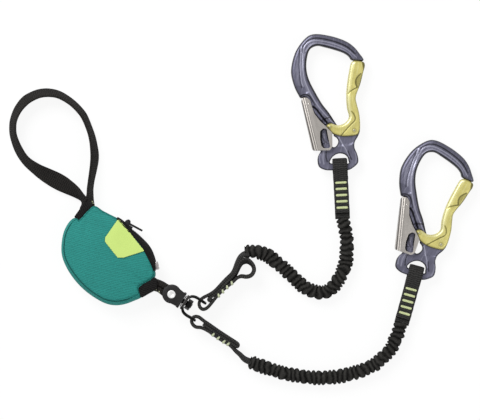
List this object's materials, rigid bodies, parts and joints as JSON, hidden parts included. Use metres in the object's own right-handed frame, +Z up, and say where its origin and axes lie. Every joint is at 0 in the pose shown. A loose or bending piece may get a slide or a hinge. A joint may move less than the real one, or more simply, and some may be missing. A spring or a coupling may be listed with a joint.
{
  "type": "via ferrata lanyard",
  "caption": "Y-shaped climbing lanyard lying flat: harness loop, zipped absorber pouch, swivel and elastic arms ending in palm-lever carabiners.",
  "frame": {"origin": "middle of the lanyard's outline without its elastic sleeves, on the surface that it lies on", "axes": "+Z up from the surface, +X to the right and +Y away as it is seen from above with the harness loop at the left"},
  "size_m": [0.429, 0.3246, 0.0282],
  "materials": {
    "black_webbing": "woven polyamide",
    "arm_webbing": "woven polyamide, gathered on the sleeves",
    "teal_cloth": "coated pack cloth",
    "black_trim": "woven tape",
    "zip_teeth": "moulded",
    "lime_patch": "smooth, plain",
    "lime_thread": "bar-tack thread",
    "elastic": "covered rubber strands",
    "lilac_aluminium": "anodised, satin",
    "yellow_aluminium": "anodised, satin",
    "steel": "brushed",
    "spring_steel": "drawn wire",
    "dark_steel": "dark finish",
    "grey_steel": "plain",
    "black_steel": "blackened"
  },
  "bodies": {
    "pouch": {"harness_loop": "black_webbing", "pouch_front": "teal_cloth", "pouch_back": "teal_cloth", "top_cuff": "black_trim", "lower_cuff": "black_trim", "label_patch": "lime_patch", "zip_tape": "black_trim", "zip_teeth": "zip_teeth", "zip_stop": "steel", "absorber_webbing": "black_webbing", "absorber_retainer": "elastic", "swivel_strap": "black_webbing"},
    "zip_slider": {"zip_slider": "black_steel"},
    "zip_puller": {"zip_puller": "black_steel"},
    "swivel_fork": {"swivel_fork": "dark_steel", "swivel_pin": "steel", "swivel_washer": "black_steel", "swivel_nut": "black_steel"},
    "bail": {"bail_yoke": "grey_steel", "bail_wire_upper": "black_steel", "bail_wire_lower": "black_steel"},
    "upper_arm": {"upper_arm_strap": "arm_webbing", "upper_arm_tacks": "lime_thread", "upper_arm_sleeve": "arm_webbing", "upper_arm_elastic": "elastic"},
    "upper_arm_end": {"upper_end_strap": "arm_webbing", "upper_end_tacks": "lime_thread"},
    "upper_carabiner": {"upper_carabiner_body": "lilac_aluminium", "upper_carabiner_gate_pin": "steel", "upper_carabiner_lever_pin": "steel", "upper_carabiner_gate_spring": "spring_steel", "upper_carabiner_lever_spring": "spring_steel"},
    "upper_lever": {"upper_carabiner_lever": "steel"},
    "upper_gate": {"upper_carabiner_gate": "yellow_aluminium", "upper_carabiner_tail_pin": "steel"},
    "lower_arm": {"lower_arm_strap": "arm_webbing", "lower_arm_tacks": "lime_thread", "lower_arm_sleeve": "arm_webbing", "lower_arm_elastic": "elastic"},
    "lower_arm_end": {"lower_end_strap": "arm_webbing", "lower_end_tacks": "lime_thread"},
    "lower_carabiner": {"lower_carabiner_body": "lilac_aluminium", "lower_carabiner_gate_pin": "steel", "lower_carabiner_lever_pin": "steel", "lower_carabiner_gate_spring": "spring_steel", "lower_carabiner_lever_spring": "spring_steel"},
    "lower_lever": {"lower_carabiner_lever": "steel"},
    "lower_gate": {"lower_carabiner_gate": "yellow_aluminium", "lower_carabiner_tail_pin": "steel"}
  },
  "joints": [
    {"name": "zip_slide", "type": "hinge", "parent": "pouch", "child": "zip_slider", "pos_m": [-0.13054, -0.07268, 0.0115], "axis": [0, 0, 1], "range_deg": [-38, 0]},
    {"name": "zip_puller_swing", "type": "hinge", "parent": "zip_slider", "child": "zip_puller", "pos_m": [-0.10487, -0.02251, 0.0115], "axis": [0, 0, 1], "range_deg": [0, 150]},
    {"name": "swivel_fork_turn", "type": "hinge", "parent": "pouch", "child": "swivel_fork", "pos_m": [-0.06412, -0.08822, 0.0115], "axis": [0, 0, 1], "range_deg": [-30, 30]},
    {"name": "swivel_spin", "type": "hinge", "parent": "swivel_fork", "child": "bail", "pos_m": [-0.06412, -0.08822, 0.0115], "axis": [0.848, -0.5299, 0], "continuous": true},
    {"name": "upper_arm_turn", "type": "hinge", "parent": "bail", "child": "upper_arm", "pos_m": [-0.03294, -0.09679, 0.0115], "axis": [0, 0, 1], "range_deg": [-5, 35]},
    {"name": "upper_arm_stretch", "type": "slide", "parent": "upper_arm", "child": "upper_arm_end", "axis": [0, 1, 0], "range_m": [0, 0.06], "stiffness_N_per_m": 60, "deforming": ["upper_arm_sleeve", "upper_arm_elastic"]},
    {"name": "upper_carabiner_nod", "type": "hinge", "parent": "upper_arm_end", "child": "upper_carabiner", "pos_m": [0.09146, 0.02907, 0.0075], "axis": [1, 0, 0], "range_deg": [-60, 75]},
    {"name": "upper_lever_squeeze", "type": "hinge", "parent": "upper_carabiner", "child": "upper_lever", "pos_m": [0.0626, 0.08665, 0.0075], "axis": [0, 0, 1], "range_deg": [0, 8], "stiffness_Nm_per_rad": 2, "springref_deg": -5.73, "deforming": ["upper_carabiner_lever_spring"]},
    {"name": "upper_gate_swing", "type": "hinge", "parent": "upper_carabiner", "child": "upper_gate", "pos_m": [0.10441, 0.06288, 0.0075], "axis": [0, 0, 1], "range_deg": [0, 25], "stiffness_Nm_per_rad": 0.2, "springref_deg": -5.73},
    {"name": "lower_arm_turn", "type": "hinge", "parent": "bail", "child": "lower_arm", "pos_m": [-0.04274, -0.11248, 0.0115], "axis": [0, 0, 1], "range_deg": [-40, 5]},
    {"name": "lower_arm_stretch", "type": "slide", "parent": "lower_arm", "child": "lower_arm_end", "axis": [1, 0, 0], "range_m": [0, 0.06], "stiffness_N_per_m": 60, "deforming": ["lower_arm_sleeve", "lower_arm_elastic"]},
    {"name": "lower_carabiner_nod", "type": "hinge", "parent": "lower_arm_end", "child": "lower_carabiner", "pos_m": [0.16093, -0.07, 0.0075], "axis": [0.9415, -0.3371, 0], "range_deg": [-60, 75]},
    {"name": "lower_lever_squeeze", "type": "hinge", "parent": "lower_carabiner", "child": "lower_lever", "pos_m": [0.15317, -0.00606, 0.0075], "axis": [0, 0, 1], "range_deg": [0, 8], "stiffness_Nm_per_rad": 2, "springref_deg": -5.73, "deforming": ["lower_carabiner_lever_spring"]},
    {"name": "lower_gate_swing", "type": "hinge", "parent": "lower_carabiner", "child": "lower_gate", "pos_m": [0.18452, -0.04253, 0.0075], "axis": [0, 0, 1], "range_deg": [0, 25], "stiffness_Nm_per_rad": 0.2, "springref_deg": -5.73}
  ],
  "couplings": [
    {"joint": "upper_gate_swing", "follows": "upper_lever_squeeze", "ratio": 3.125},
    {"joint": "lower_gate_swing", "follows": "lower_lever_squeeze", "ratio": 3.125}
  ]
}
